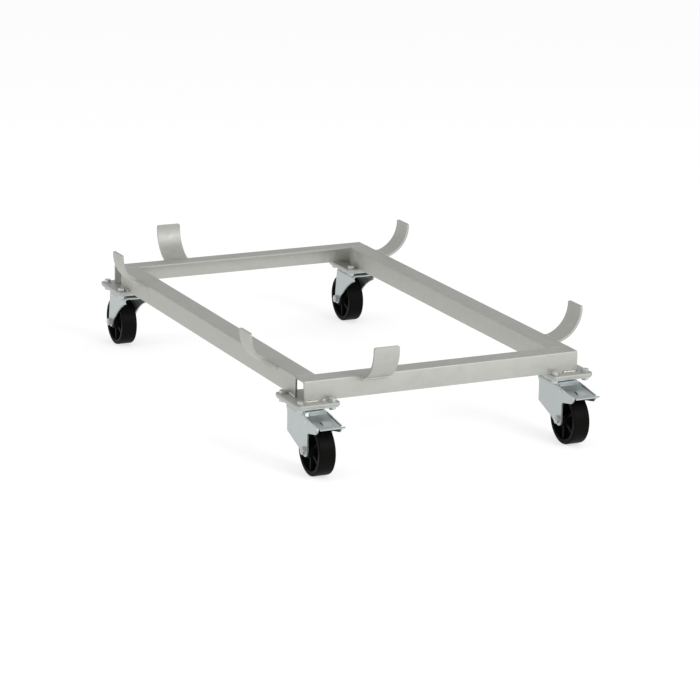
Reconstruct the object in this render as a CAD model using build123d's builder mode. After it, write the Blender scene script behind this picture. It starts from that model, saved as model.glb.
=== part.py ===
from build123d import *
import math
import os

# Low rolling frame that carries a tray of drums. Units are millimetres.
# +Z is up, +Y runs along the length towards the end with the plain casters, and the
# origin lies on the floor under the middle of the frame.
# Caster pieces are drawn about their own swivel axis with the wheel trailing towards +Y,
# then turned so that every wheel trails outwards, away from the middle of the frame.

# ---------------------------------------------------------------- driving dimensions
frame_length = 1250.0
frame_width = 720.0

# Rolled steel angle of the four rails
angle_leg = 50.0
angle_thickness = 5.0
angle_heel_radius = 3.0
angle_root_radius = 6.0
angle_toe_radius = 2.0

# Curved guide tabs, bent from flat bar and welded to the rails by their lower ends
tab_width = 65.0
tab_thickness = 6.0
tab_bend_radius = 84.0
tab_reach = 67.0
tab_height = 81.0
tab_corner_radius = 5.0
tab_base_drop = 3.0
end_tab_position = -180.0
left_tab_positions = {"front": -428.0, "back": 422.0}
right_tab_positions = {"front": -492.0, "back": 482.0}

# Corner mounting plates welded under the frame, and where the casters stand
# The bolts stand on both sides of a rail's leg, so their spacing follows the angle.
bolt_beside_leg = 15.0
bolt_spacing_x = angle_leg + 2 * bolt_beside_leg
bolt_spacing_y = 105.0
plate_past_bolt_x = 15.0
plate_past_bolt_y = 17.5
corner_plate_width = bolt_spacing_x + 2 * plate_past_bolt_x
corner_plate_length = bolt_spacing_y + 2 * plate_past_bolt_y
corner_plate_thickness = 8.0
plate_corner_radius = 12.0
caster_inset_x = angle_leg / 2 + 1
caster_inset_y = 38.0

# Caster plates and bolts
caster_plate_thickness = 4.0
caster_plate_margin = 2.5
bolt_diameter = 10.0
bolt_hole_clearance = 0.5
bolt_head_width = 16.0
bolt_head_height = 6.4
washer_diameter = 20.0
washer_thickness = 1.6
nut_height = 7.8
bolt_end = 1.0

# Wheels, and the heights measured from them
wheel_diameter = 125.0
wheel_radius = wheel_diameter / 2
axle_height = wheel_radius
mounting_height = wheel_diameter + 40
wheel_width = 42.0
tread_edge_radius = 3.5
rim_thickness = 13.0
rim_edge_radius = 3.0
web_thickness = 9.0
hub_diameter = 36.0
hub_side_clearance = 1.5
rib_count = 6
rib_thickness = 8.0
rib_recess = 3.5

# Forks and swivel bearings
swivel_trail = 56.0
fork_thickness = 3.5
fork_wheel_clearance = 7.5
fork_shoulder_radius = 11.0
crown_radius = 60.0
plain_end_radius = 13.0
braked_end_radius = 15.0
plain_crown_depth = 11.0
plain_sweep_point = (7.0, axle_height + 38.5)
plain_lean = 13.0
crown_trailing_reach = swivel_trail - 10
leg_knee_radius = 14.0
leg_slope = 19.5
race_diameter = 84.0
race_bore = 44.0
race_height = 9.0
race_edge_radius = 3.0
crown_gap = 0.3
kingpin_diameter = 14.0
kingpin_head_diameter = 26.0
kingpin_head_height = 7.0

# Axles
axle_diameter = 12.0
axle_fit = 0.02
bush_diameter = 18.0
axle_head_width = 18.0
axle_head_height = 7.5
axle_nut_height = 8.0
axle_end = 2.0
running_clearance = 0.05

# Brake pedals of the two front casters
pedal_thickness = 3.0
pedal_side_clearance = 1.2
pedal_pivot_trail = swivel_trail + 8
pedal_pivot_height = wheel_diameter + 9
pedal_slope = 7.0
pedal_above_pin = 0.5
pedal_behind_pivot = 12.0
pedal_reach = 70.5
pedal_lip_length = 5.5
pedal_lip_overhang = 9.0
pedal_ear_reach = 18.0
pedal_ear_depth = 11.0
pedal_ear_radius = 6.0
pedal_pin_diameter = 7.0
pedal_pin_head_diameter = 13.0
pedal_pin_head_height = 2.5
tongue_start = 26.0
tongue_length = 24.0
tongue_width = 22.0
tongue_rise = 5.0
tongue_side_gap = 0.8
pedal_hole_diameter = 6.0
pedal_hole_reach = 57.0
pedal_hole_side = -15.0
nose_reach = swivel_trail + 71
nose_tip_height = wheel_diameter + 9.5
nose_tip_depth = 8.5
nose_tip_radius = 5.0
nose_under_height = wheel_diameter - 8
nose_under_drop = 9.0
nose_root_height = wheel_diameter + 21
nose_root_radius = 8.0
shoe_width = 34.0
shoe_rest_gap = 6.4
shoe_angles = (55.0, 76.0)

# ---------------------------------------------------------------- derived places
rail_bottom = mounting_height + corner_plate_thickness
frame_top = rail_bottom + angle_leg
side_rail_length = frame_length - 2 * angle_leg
caster_x = frame_width / 2 - caster_inset_x
caster_y = frame_length / 2 - caster_inset_y
caster_plate_bottom = mounting_height - caster_plate_thickness
crown_top = caster_plate_bottom - race_height - crown_gap
crown_inside = crown_top - fork_thickness
fork_inside = wheel_width / 2 + fork_wheel_clearance
fork_outside = fork_inside + fork_thickness
hub_half = fork_inside - hub_side_clearance
pedal_half = fork_inside - pedal_side_clearance
pedal_pin_radius = pedal_pin_diameter / 2

# corner name, side of the frame along X, end of the frame along Y
corners = (
    ("front_left", -1, -1),
    ("front_right", 1, -1),
    ("back_left", -1, 1),
    ("back_right", 1, 1),
)

# The axle line of a caster, and a plane across it whose local axes are +Y and +Z
axle_line = Axis((0, swivel_trail, axle_height), (1, 0, 0))
side_plane = Plane.YZ
axle_plane = Plane(origin=(0, swivel_trail, axle_height), x_dir=(0, 1, 0), z_dir=(1, 0, 0))

# The pedal's own plane lies along its sloping underside, over the pivot
slope_cos = math.cos(math.radians(pedal_slope))
slope_sin = math.sin(math.radians(pedal_slope))
pedal_plane = Plane(
    origin=(0, pedal_pivot_trail, pedal_pivot_height + pedal_pin_radius + pedal_above_pin),
    x_dir=(0, slope_cos, -slope_sin),
    z_dir=(1, 0, 0),
)


def save(piece, name):
    """Label one finished piece and write it to its own STEP file."""
    piece.label = name
    export_step(piece, f"parts/{name}.step")


def at_caster(piece, side, end):
    """Move a caster piece to its corner, with the wheel trailing away from the middle."""
    turn = 0 if end > 0 else 180
    return Pos(side * caster_x, end * caster_y, 0) * Rot(0, 0, turn) * piece


# ---------------------------------------------------------------- frame
def angle_rail(heel, flange_direction, run_direction, length):
    """One rolled angle: the flange is level, the other leg hangs from the heel."""
    with BuildPart() as rail:
        with BuildSketch(Plane(origin=heel, x_dir=flange_direction, z_dir=run_direction)) as section:
            with BuildLine():
                Polyline(
                    (0, 0),
                    (angle_leg, 0),
                    (angle_leg, -angle_thickness),
                    (angle_thickness, -angle_thickness),
                    (angle_thickness, -angle_leg),
                    (0, -angle_leg),
                    close=True,
                )
            make_face()
            corner_points = section.vertices()
            heel_point = corner_points.sort_by_distance((0, 0))[0]
            root_point = corner_points.sort_by_distance((angle_thickness, -angle_thickness))[0]
            toe_points = [
                corner_points.sort_by_distance((angle_leg, -angle_thickness))[0],
                corner_points.sort_by_distance((angle_thickness, -angle_leg))[0],
            ]
            fillet(heel_point, radius=angle_heel_radius)
            fillet(root_point, radius=angle_root_radius)
            fillet(toe_points, radius=angle_toe_radius)
        extrude(amount=length)
    return rail.part


def guide_tab(foot, outward, along, base_drop):
    """A flat bar bent through a quarter turn, so that it leans out and then stands up.

    foot is the middle of its lower end, on the rail's outer side at the frame's top.
    """
    inner_radius = tab_bend_radius - tab_thickness
    centre_out = tab_reach - tab_bend_radius
    centre_up = math.sqrt(inner_radius**2 - centre_out**2) - base_drop
    inner_start = math.degrees(math.acos(-centre_out / inner_radius))
    outer_start = math.degrees(math.acos(-centre_out / tab_bend_radius))
    with BuildPart() as tab:
        with BuildSketch(Plane(origin=foot, x_dir=outward, z_dir=along)):
            with BuildLine():
                outer = CenterArc((centre_out, centre_up), tab_bend_radius, 0, -outer_start)
                inner = CenterArc((centre_out, centre_up), inner_radius, 0, -inner_start)
                Line(outer @ 1, inner @ 1)
                Polyline(
                    outer @ 0,
                    (tab_reach, tab_height),
                    (tab_reach - tab_thickness, tab_height),
                    inner @ 0,
                )
            make_face()
        extrude(amount=tab_width / 2, both=True)
        top_corners = tab.edges().filter_by(Axis(foot, outward)).group_by(Axis.Z)[-1]
        fillet(top_corners, radius=tab_corner_radius)
    return tab.part


def corner_plate(side, end):
    """Rounded plate under one corner of the frame, drilled for the caster's bolts."""
    middle = (side * caster_x, end * caster_y, mounting_height)
    with BuildPart() as plate:
        with BuildSketch(Plane(origin=middle)):
            RectangleRounded(corner_plate_width, corner_plate_length, plate_corner_radius)
            with GridLocations(bolt_spacing_x, bolt_spacing_y, 2, 2):
                Circle(bolt_diameter / 2 + bolt_hole_clearance, mode=Mode.SUBTRACT)
        extrude(amount=corner_plate_thickness)
    return plate.part


# ---------------------------------------------------------------- plate fasteners
def plate_fasteners(bottom, height, outline, bore_radius):
    """The same prism at all sixteen bolt places, one separate solid each."""
    with BuildPart() as group:
        for _, side, end in corners:
            with BuildSketch(Plane(origin=(side * caster_x, end * caster_y, bottom))):
                with GridLocations(bolt_spacing_x, bolt_spacing_y, 2, 2):
                    outline()
                    if bore_radius > 0:
                        Circle(bore_radius, mode=Mode.SUBTRACT)
            extrude(amount=height)
    return group.part


def hexagon(width_across_flats):
    """A hexagon of the given width across its flats."""
    RegularPolygon(width_across_flats / 2, 6, major_radius=False)


def plate_bolts():
    """Hexagon bolts put in from above, their heads on the washers."""
    head_bottom = rail_bottom + washer_thickness
    shank_bottom = caster_plate_bottom - nut_height - bolt_end
    with BuildPart() as bolts:
        add(plate_fasteners(head_bottom, bolt_head_height, lambda: hexagon(bolt_head_width), 0))
        shank_height = head_bottom - shank_bottom
        add(plate_fasteners(shank_bottom, shank_height, lambda: Circle(bolt_diameter / 2), 0))
    return bolts.part


# ---------------------------------------------------------------- caster head
def caster_plate():
    """The caster's own plate, a little smaller than the corner plate above it."""
    width = corner_plate_width - 2 * caster_plate_margin
    length = corner_plate_length - 2 * caster_plate_margin
    with BuildPart() as plate:
        with BuildSketch(Plane.XY.offset(caster_plate_bottom)):
            RectangleRounded(width, length, plate_corner_radius - caster_plate_margin)
            with GridLocations(bolt_spacing_x, bolt_spacing_y, 2, 2):
                Circle(bolt_diameter / 2 + bolt_hole_clearance, mode=Mode.SUBTRACT)
            Circle(kingpin_diameter / 2 + axle_fit, mode=Mode.SUBTRACT)
        extrude(amount=caster_plate_thickness)
    return plate.part


def ball_race():
    """The bearing ring between the caster plate and the fork's crown."""
    with BuildPart() as race:
        with BuildSketch(Plane.XY.offset(caster_plate_bottom - race_height)):
            Circle(race_diameter / 2)
            Circle(race_bore / 2, mode=Mode.SUBTRACT)
        extrude(amount=race_height)
        lower_edge = race.edges().group_by(Axis.Z)[0].sort_by(SortBy.RADIUS)[-1]
        fillet(lower_edge, radius=race_edge_radius)
    return race.part


def kingpin():
    """The pin the fork turns on: flush in the plate, its head under the crown."""
    head_top = crown_inside - crown_gap
    with BuildPart() as pin:
        with BuildSketch(Plane.XY.offset(head_top - kingpin_head_height)):
            Circle(kingpin_head_diameter / 2)
        extrude(amount=kingpin_head_height)
        with BuildSketch(Plane.XY.offset(head_top)):
            Circle(kingpin_diameter / 2)
        extrude(amount=mounting_height - head_top)
        chamfer(pin.edges().group_by(Axis.Z)[0], length=2)
    return pin.part


# ---------------------------------------------------------------- forks
def plain_fork_outline():
    """Side view of a plain fork: swept back, narrow at the axle, round under it."""
    leading = swivel_trail - plain_end_radius
    trailing = swivel_trail + plain_end_radius
    with BuildSketch(side_plane) as outline:
        with BuildLine():
            Line((-crown_radius, crown_top), (-crown_radius, crown_inside - plain_crown_depth))
            ThreePointArc(
                (-crown_radius, crown_inside - plain_crown_depth),
                plain_sweep_point,
                (leading, axle_height),
            )
            ThreePointArc(
                (leading, axle_height),
                (swivel_trail, axle_height - plain_end_radius),
                (trailing, axle_height),
            )
            Polyline(
                (trailing, axle_height),
                (trailing - plain_lean, crown_top),
                (-crown_radius, crown_top),
            )
        make_face()
    return outline.sketch


def braked_fork_outline():
    """Side view of a braked fork: a deep leg with a nose reaching out under the pedal."""
    trailing = swivel_trail + braked_end_radius
    slope = math.radians(leg_slope)
    leg_foot = (
        swivel_trail - braked_end_radius * math.sin(slope),
        axle_height - braked_end_radius * math.cos(slope),
    )
    leg_knee = (-crown_radius, leg_foot[1] + (leg_foot[0] + crown_radius) * math.tan(slope))
    nose_tip = (nose_reach, nose_tip_height)
    nose_tip_under = (nose_reach, nose_tip_height - nose_tip_depth)
    with BuildSketch(side_plane) as outline:
        with BuildLine():
            Polyline(
                leg_knee,
                (-crown_radius, crown_top),
                (crown_trailing_reach, crown_top),
                (crown_trailing_reach, nose_root_height),
                nose_tip,
                nose_tip_under,
                (nose_reach - nose_tip_depth, nose_under_height),
                (trailing, nose_under_height - nose_under_drop),
                (trailing, axle_height),
                (swivel_trail, axle_height),
                leg_foot,
                close=True,
            )
        make_face()
        corner_points = outline.vertices()
        knee = corner_points.sort_by_distance(leg_knee)[0]
        nose_root = corner_points.sort_by_distance((trailing, nose_under_height))[0]
        fillet(knee, radius=leg_knee_radius)
        fillet(nose_root, radius=nose_root_radius)
        tip_corners = [
            corner_points.sort_by_distance(nose_tip)[0],
            corner_points.sort_by_distance(nose_tip_under)[0],
        ]
        fillet(tip_corners, radius=nose_tip_radius)
        with Locations((swivel_trail, axle_height)):
            Circle(braked_end_radius)
    return outline.sketch


def arch(half_width, top, shoulder):
    """Front view of a channel: straight sides under a top with round shoulders."""
    with BuildSketch(Plane.XZ) as profile:
        with BuildLine():
            Polyline(
                (-half_width, 0),
                (half_width, 0),
                (half_width, top),
                (-half_width, top),
                close=True,
            )
        make_face()
        fillet(profile.vertices().group_by(Axis.Y)[-1], radius=shoulder)
    return profile.sketch


def fork(outline, braked):
    """A fork pressed from one sheet: a crown across the top and a leg on each side."""
    reach = 2 * nose_reach
    outside = arch(fork_outside, crown_top, fork_shoulder_radius)
    inside = arch(fork_inside, crown_inside, fork_shoulder_radius - fork_thickness)
    with BuildPart() as body:
        extrude(outline, amount=fork_outside, both=True)
        extrude(outside, amount=reach, both=True, mode=Mode.INTERSECT)
        extrude(inside, amount=reach, both=True, mode=Mode.SUBTRACT)
        with BuildSketch(Plane.XY):
            Circle(crown_radius)
            Rectangle(2 * crown_radius, reach, align=(Align.CENTER, Align.MIN))
        extrude(amount=crown_top, mode=Mode.INTERSECT)
        with BuildSketch(Plane.XY.offset(crown_inside)):
            Circle(kingpin_diameter / 2 + running_clearance)
        extrude(amount=fork_thickness, mode=Mode.SUBTRACT)
        with BuildSketch(axle_plane):
            Circle(axle_diameter / 2 + axle_fit)
        extrude(amount=fork_outside, both=True, mode=Mode.SUBTRACT)
        if braked:
            with BuildSketch(side_plane):
                with Locations((pedal_pivot_trail, pedal_pivot_height)):
                    Circle(pedal_pin_radius + axle_fit)
            extrude(amount=fork_outside, both=True, mode=Mode.SUBTRACT)
    return body.part


# ---------------------------------------------------------------- wheel and axle
def wheel():
    """One-piece moulded wheel: flat tread, recessed faces with ribs, plain bore."""
    rim_inside = wheel_radius - rim_thickness
    with BuildPart() as body:
        with BuildSketch(Plane(axle_plane.origin, x_dir=(1, 0, 0), z_dir=(0, -1, 0))) as section:
            with Locations((0, rim_inside)):
                Rectangle(wheel_width, rim_thickness, align=(Align.CENTER, Align.MIN))
            tread_corners = section.vertices().group_by(Axis.Y)[-1]
            fillet(tread_corners, radius=tread_edge_radius)
            rim_corners = section.vertices().group_by(Axis.Y)[0]
            fillet(rim_corners, radius=rim_edge_radius)
            Rectangle(web_thickness, rim_inside + 1, align=(Align.CENTER, Align.MIN))
            Rectangle(2 * hub_half, hub_diameter / 2, align=(Align.CENTER, Align.MIN))
        revolve(axis=axle_line)
        with BuildSketch(axle_plane):
            rib_length = rim_inside - hub_diameter / 2 + 2
            with PolarLocations((rim_inside + hub_diameter / 2) / 2, rib_count):
                Rectangle(rib_length, rib_thickness)
        extrude(amount=wheel_width / 2 - rib_recess, both=True)
        with BuildSketch(axle_plane):
            Circle(bush_diameter / 2 + running_clearance)
        extrude(amount=wheel_width, both=True, mode=Mode.SUBTRACT)
    return body.part


def axle_bush():
    """Steel tube clamped between the fork's legs; the wheel turns on it."""
    with BuildPart() as bush:
        with BuildSketch(axle_plane):
            Circle(bush_diameter / 2)
            Circle(axle_diameter / 2 + axle_fit, mode=Mode.SUBTRACT)
        extrude(amount=fork_inside, both=True)
    return bush.part


def axle_bolt(nut_side):
    """Hexagon bolt through both legs and the bush, its nut on the given side."""
    shank_length = 2 * fork_outside + axle_nut_height + axle_end
    head_face = axle_plane.offset(-nut_side * fork_outside)
    with BuildPart() as bolt:
        with BuildSketch(head_face):
            Circle(axle_diameter / 2)
        extrude(amount=nut_side * shank_length)
        with BuildSketch(head_face):
            hexagon(axle_head_width)
        extrude(amount=-nut_side * axle_head_height)
    return bolt.part


def axle_nut(nut_side):
    """Hexagon nut against the outer face of one leg."""
    with BuildPart() as nut:
        with BuildSketch(axle_plane.offset(nut_side * fork_outside)):
            hexagon(axle_head_width)
            Circle(axle_diameter / 2 + axle_fit, mode=Mode.SUBTRACT)
        extrude(amount=nut_side * axle_nut_height)
    return nut.part


# ---------------------------------------------------------------- brake
def brake_pedal():
    """Sheet pedal between the legs: sloping plate, lip out to one side, ears on the pin."""
    with BuildPart() as pedal:
        with BuildSketch(pedal_plane):
            with Locations((-pedal_behind_pivot, 0)):
                Rectangle(
                    pedal_behind_pivot + pedal_reach,
                    pedal_thickness,
                    align=(Align.MIN, Align.MIN),
                )
        extrude(amount=pedal_half, both=True)
        with BuildSketch(pedal_plane.offset(-pedal_half)):
            with Locations((pedal_reach, 0)):
                Rectangle(
                    pedal_lip_length,
                    pedal_thickness,
                    align=(Align.MAX, Align.MIN),
                )
        extrude(amount=-pedal_lip_overhang)
        with BuildSketch(pedal_plane):
            ear_length = pedal_behind_pivot + pedal_ear_reach
            with Locations((-pedal_behind_pivot, 0)):
                ear = Rectangle(ear_length, pedal_ear_depth, align=(Align.MIN, Align.MAX))
            fillet(ear.vertices().group_by(Axis.Y)[0], radius=pedal_ear_radius)
        extrude(amount=pedal_half, both=True)
        with BuildSketch(pedal_plane):
            with Locations((-2 * pedal_behind_pivot, 0)):
                Rectangle(
                    3 * pedal_behind_pivot + pedal_ear_reach,
                    2 * pedal_ear_depth,
                    align=(Align.MIN, Align.MAX),
                )
        extrude(amount=pedal_half - pedal_thickness, both=True, mode=Mode.SUBTRACT)
        with BuildSketch(side_plane):
            with Locations((pedal_pivot_trail, pedal_pivot_height)):
                Circle(pedal_pin_radius + running_clearance)
        extrude(amount=pedal_half, both=True, mode=Mode.SUBTRACT)
        with BuildSketch(pedal_plane):
            with Locations((tongue_start, 0)):
                Rectangle(tongue_length, pedal_thickness, align=(Align.MIN, Align.MIN))
        extrude(amount=tongue_width / 2, both=True, mode=Mode.SUBTRACT)
        with BuildSketch(pedal_plane):
            with BuildLine():
                start, end = tongue_start - 1, tongue_start + tongue_length + 1
                middle = (start + end) / 2
                ThreePointArc((start, 0), (middle, tongue_rise), (end, 0))
                Line((end, 0), (end, pedal_thickness))
                ThreePointArc(
                    (end, pedal_thickness),
                    (middle, tongue_rise + pedal_thickness),
                    (start, pedal_thickness),
                )
                Line((start, pedal_thickness), (start, 0))
            make_face()
        extrude(amount=tongue_width / 2 - tongue_side_gap, both=True)
        hole_plane = Plane(
            origin=pedal_plane.from_local_coords((pedal_hole_reach, 0, pedal_hole_side)),
            x_dir=(1, 0, 0),
            z_dir=pedal_plane.y_dir,
        )
        with BuildSketch(hole_plane):
            Circle(pedal_hole_diameter / 2)
        extrude(amount=pedal_thickness, mode=Mode.SUBTRACT)
    return pedal.part


def brake_shoe():
    """Block under the pedal, hollowed to the wheel, that meets the tread when pressed."""
    shoe_radius = wheel_radius + shoe_rest_gap
    first, last = (math.radians(angle) for angle in shoe_angles)
    low = (shoe_radius * math.cos(first), shoe_radius * math.sin(first))
    high = (shoe_radius * math.cos(last), shoe_radius * math.sin(last))
    middle_angle = (first + last) / 2
    middle = (shoe_radius * math.cos(middle_angle), shoe_radius * math.sin(middle_angle))
    pivot = (pedal_pivot_trail - swivel_trail, pedal_pivot_height - axle_height)
    underside = pedal_pin_radius + pedal_above_pin

    def under_pedal(out):
        drop = (out - pivot[0]) * slope_sin / slope_cos
        return (out, pivot[1] + underside - drop)

    with BuildPart() as shoe:
        with BuildSketch(axle_plane):
            with BuildLine():
                ThreePointArc(low, middle, high)
                Polyline(high, under_pedal(high[0]), under_pedal(low[0]), low)
            make_face()
        extrude(amount=shoe_width / 2, both=True)
    return shoe.part


def pedal_pin():
    """Riveted pin through both legs and the pedal's ears."""
    pin_plane = Plane(origin=(0, pedal_pivot_trail, pedal_pivot_height), z_dir=(1, 0, 0))
    with BuildPart() as pin:
        with BuildSketch(pin_plane):
            Circle(pedal_pin_radius)
        extrude(amount=fork_outside, both=True)
        for side in (-1, 1):
            with BuildSketch(pin_plane.offset(side * fork_outside)):
                Circle(pedal_pin_head_diameter / 2)
            extrude(amount=side * pedal_pin_head_height)
        outer_edges = pin.edges().filter_by(GeomType.CIRCLE).group_by(Axis.X)
        chamfer(outer_edges[0] + outer_edges[-1], length=pedal_pin_head_height / 2)
    return pin.part


# ---------------------------------------------------------------- build and save
os.makedirs("parts", exist_ok=True)

half_width = frame_width / 2
half_length = frame_length / 2
half_side_rail = side_rail_length / 2
down_the_side = (0, -1, 0)

save(angle_rail((-half_width, -half_length, frame_top), (0, 1, 0), (1, 0, 0), frame_width), "front_rail")
save(angle_rail((half_width, half_length, frame_top), (0, -1, 0), (-1, 0, 0), frame_width), "back_rail")
left_heel = (-half_width, half_side_rail, frame_top)
right_heel = (half_width - angle_leg, half_side_rail, frame_top)
save(angle_rail(left_heel, (1, 0, 0), down_the_side, side_rail_length), "left_rail")
save(angle_rail(right_heel, (1, 0, 0), down_the_side, side_rail_length), "right_rail")

front_foot = (end_tab_position, -half_length, frame_top)
back_foot = (end_tab_position, half_length, frame_top)
save(guide_tab(front_foot, (0, -1, 0), (-1, 0, 0), tab_base_drop), "front_tab")
save(guide_tab(back_foot, (0, 1, 0), (1, 0, 0), tab_base_drop), "back_tab")
for end_name, position in left_tab_positions.items():
    foot = (-half_width, position, frame_top)
    save(guide_tab(foot, (-1, 0, 0), (0, 1, 0), tab_base_drop), f"left_{end_name}_tab")
for end_name, position in right_tab_positions.items():
    foot = (half_width, position, frame_top)
    save(guide_tab(foot, (1, 0, 0), (0, -1, 0), 0), f"right_{end_name}_tab")

bolt_bore = bolt_diameter / 2 + axle_fit
save(plate_bolts(), "plate_bolts")
save(
    plate_fasteners(rail_bottom, washer_thickness, lambda: Circle(washer_diameter / 2), bolt_bore),
    "plate_washers",
)
save(
    plate_fasteners(
        caster_plate_bottom - nut_height, nut_height, lambda: hexagon(bolt_head_width), bolt_bore
    ),
    "plate_nuts",
)

for corner, side, end in corners:
    braked = end < 0
    outline = braked_fork_outline() if braked else plain_fork_outline()
    save(corner_plate(side, end), f"{corner}_corner_plate")
    save(at_caster(caster_plate(), side, end), f"{corner}_caster_plate")
    save(at_caster(ball_race(), side, end), f"{corner}_ball_race")
    save(at_caster(kingpin(), side, end), f"{corner}_kingpin")
    save(at_caster(fork(outline, braked), side, end), f"{corner}_fork")
    save(at_caster(axle_bush(), side, end), f"{corner}_axle_bush")
    save(at_caster(axle_bolt(-end), side, end), f"{corner}_axle_bolt")
    save(at_caster(axle_nut(-end), side, end), f"{corner}_axle_nut")
    save(at_caster(wheel(), side, end), f"{corner}_wheel")
    if braked:
        save(at_caster(brake_pedal(), side, end), f"{corner}_brake_pedal")
        save(at_caster(brake_shoe(), side, end), f"{corner}_brake_shoe")
        save(at_caster(pedal_pin(), side, end), f"{corner}_pedal_pin")
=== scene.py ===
import math

import bmesh
import bpy
import numpy as np
from bpy.props import FloatProperty, FloatVectorProperty, IntProperty, PointerProperty
from mathutils import Matrix, Vector


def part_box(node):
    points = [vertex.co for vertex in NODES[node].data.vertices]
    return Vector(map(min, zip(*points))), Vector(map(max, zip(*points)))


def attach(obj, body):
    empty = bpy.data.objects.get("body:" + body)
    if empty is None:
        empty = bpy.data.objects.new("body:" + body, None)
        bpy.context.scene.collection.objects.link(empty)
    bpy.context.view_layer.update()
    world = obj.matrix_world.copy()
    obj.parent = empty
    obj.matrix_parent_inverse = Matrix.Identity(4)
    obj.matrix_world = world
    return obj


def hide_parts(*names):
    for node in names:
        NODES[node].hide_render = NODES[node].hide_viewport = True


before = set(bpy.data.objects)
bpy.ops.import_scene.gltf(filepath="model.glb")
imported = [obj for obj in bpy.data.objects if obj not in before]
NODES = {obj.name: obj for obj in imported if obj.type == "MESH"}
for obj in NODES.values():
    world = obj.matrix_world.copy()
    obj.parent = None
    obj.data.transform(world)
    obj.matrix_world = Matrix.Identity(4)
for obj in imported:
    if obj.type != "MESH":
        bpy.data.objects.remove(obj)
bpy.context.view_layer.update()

bl_info = {
    "name": "Rolling drum dolly",
    "version": (1, 0, 0),
    "blender": (4, 5, 0),
    "location": "3D View > Sidebar > Dolly",
    "description": "Dresses the packed rolling frame with sheet, weld, wheel and zinc detail",
    "category": "Object",
}

MM = 0.001
CORNERS = ("front_left", "front_right", "back_left", "back_right")
RAILS = ("front_rail", "back_rail", "left_rail", "right_rail")
FRAME_BODY = "frame"


def corner_of(node, index):
    """One of the two corners of a CAD node's box, 0 the lowest and 1 the highest, as an array."""
    return np.array(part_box(node)[index], float)


def ends_of(node):
    """The lowest and the highest corner of a CAD node's box."""
    return corner_of(node, 0), corner_of(node, 1)


def middle_of(node):
    """The middle of a CAD node's box."""
    return (corner_of(node, 0) + corner_of(node, 1)) / 2


def trails_to_back(corner):
    """1 where the wheel trails towards +Y, and -1 where it trails towards -Y."""
    return 1 if corner.startswith("back") else -1


# ------------------------------------------------------------------ settings
def colour_setting(name, description, default):
    """A colour property."""
    return FloatVectorProperty(
        name=name, description=description, subtype="COLOR", size=3, min=0.0, max=1.0, default=default,
    )


def size_setting(name, description, default, least):
    """A property for a size in metres."""
    return FloatProperty(
        name=name, description=description, subtype="DISTANCE", unit="LENGTH", min=least,
        default=default,
    )


class DollyFinish(bpy.types.PropertyGroup):
    """Colours of the finishes."""

    galvanised: colour_setting(
        "Galvanised", "Hot-dip zinc on rails, tabs and corner plates", (0.452, 0.456, 0.424)
    )
    plated: colour_setting(
        "Zinc plate", "Bluish bright zinc on the pressed caster parts", (0.462, 0.512, 0.516)
    )
    fastener: colour_setting("Fasteners", "Zinc on bolts, nuts, washers and pins", (0.560, 0.585, 0.580))
    shoe: colour_setting("Brake shoe", "Dull steel of the brake shoes", (0.180, 0.185, 0.190))
    wheel: colour_setting("Wheel", "Black moulded plastic of the wheels", (0.0045, 0.0045, 0.0042))
    spangle: size_setting("Spangle", "Width of one zinc crystal", 0.016, 0.002)


class DollySheet(bpy.types.PropertyGroup):
    """Sizes of sheet, bar and weld detail."""

    edge: size_setting("Edge rounding", "Rounding left on cut edges", 0.0008, 0.0001)
    weld: size_setting("Weld leg", "Radius of a fillet weld's bead", 0.0042, 0.001)
    ripple: size_setting("Weld ripple", "Distance from one weld ripple to the next", 0.0032, 0.001)
    roll: size_setting("Rolled edge", "How far a fork's leading edge is rolled in", 0.0030, 0.0)


class DollyWheel(bpy.types.PropertyGroup):
    """Sizes of the moulded wheels."""

    ribs: IntProperty(
        name="Ribs", description="Ribs on each face of a wheel", min=3, max=12, default=6,
    )
    rib_width: size_setting("Rib width", "Thickness of one rib", 0.0080, 0.002)
    recess: size_setting("Recess", "How far the web lies under the rim's face", 0.0160, 0.002)
    rim: size_setting("Rim", "Thickness of the rim and its tread", 0.0125, 0.004)
    shoulder: size_setting("Tread shoulder", "Rounding of the tread's edges", 0.0035, 0.001)


class DollyStage(bpy.types.PropertyGroup):
    """Floor, light and camera."""

    azimuth: FloatProperty(
        name="Azimuth", description="Camera's turn about the object, from the braked end",
        subtype="ANGLE", unit="ROTATION", default=math.radians(24.89),
    )
    elevation: FloatProperty(
        name="Elevation", description="Camera's height angle",
        subtype="ANGLE", unit="ROTATION", default=math.radians(15.09),
    )
    roll: FloatProperty(
        name="Roll", description="Camera's tilt about its own line of sight",
        subtype="ANGLE", unit="ROTATION", default=math.radians(0.65),
    )
    distance: FloatProperty(
        name="Distance", description="From the camera to the point it looks at",
        subtype="DISTANCE", unit="LENGTH", default=7.85,
    )
    lens: FloatProperty(
        name="Lens", description="Focal length in millimetres on a 36 mm sensor", default=157.93,
    )
    aim: FloatVectorProperty(
        name="Aim", description="Point the camera looks at",
        subtype="XYZ", unit="LENGTH", size=3, default=(0.0481, 0.0050, 0.0997),
    )
    world: FloatProperty(
        name="Room light", description="Strength of the even light all round", default=0.66,
    )
    key: FloatProperty(
        name="Key light", description="Strength of the soft light over the braked end", default=1.3,
    )
    floor: FloatVectorProperty(
        name="Floor", description="Pale floor", subtype="COLOR", size=3, default=(0.93, 0.93, 0.93),
    )


# ------------------------------------------------------------------ mesh helpers
def grid_faces(rows, columns, close_rows=False, close_columns=False):
    """Quads of a grid of points, row after row, wrapped round where asked."""
    i = np.arange(rows if close_rows else rows - 1)
    j = np.arange(columns if close_columns else columns - 1)
    a, b = (part.ravel() for part in np.meshgrid(i, j, indexing="ij"))
    a_next, b_next = (a + 1) % rows, (b + 1) % columns
    return np.stack(
        [a * columns + b, a * columns + b_next, a_next * columns + b_next, a_next * columns + b], 1
    )


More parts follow.
